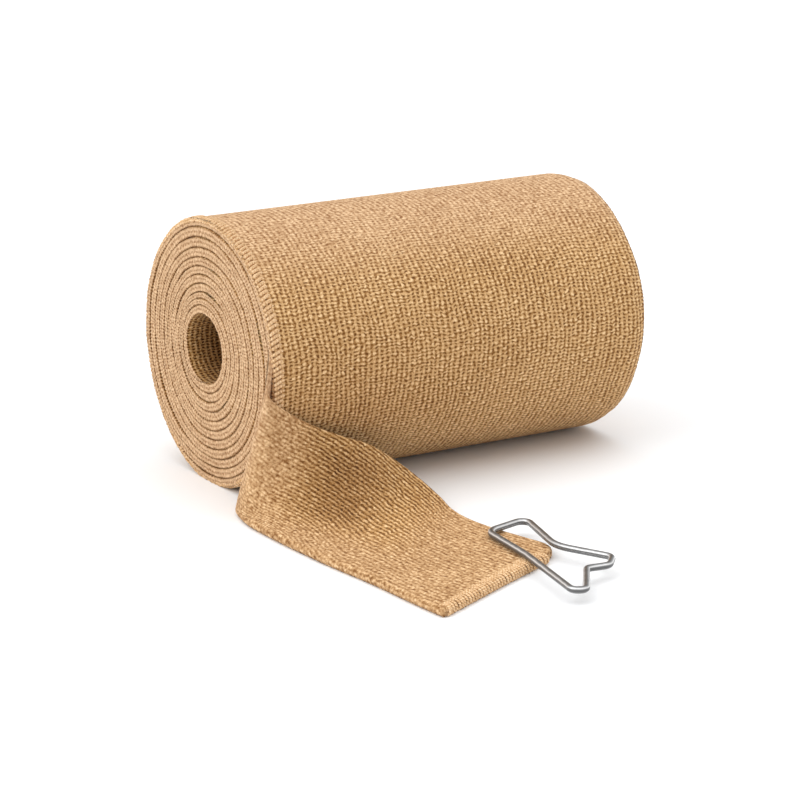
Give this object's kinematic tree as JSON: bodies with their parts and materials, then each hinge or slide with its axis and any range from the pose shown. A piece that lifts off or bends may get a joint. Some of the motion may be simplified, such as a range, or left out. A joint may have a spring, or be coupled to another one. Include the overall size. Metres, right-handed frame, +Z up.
{
  "type": "compression bandage roll",
  "caption": "Elastic compression bandage wound into a roll, with its loose end laid out in front and a wire clip on it.",
  "frame": {"origin": "middle of the flat strip under the roll, on the surface that it rests on", "axes": "+X along the roll's axis towards its far end, +Y away from the loose end, +Z up"},
  "size_m": [0.108, 0.1448, 0.0609],
  "materials": {
    "bandage_knit": "matte",
    "clip_steel": "satin"
  },
  "bodies": {
    "root": {"bandage_roll": "bandage_knit", "loose_end": "bandage_knit", "wire_clip": "clip_steel"}
  },
  "joints": []
}
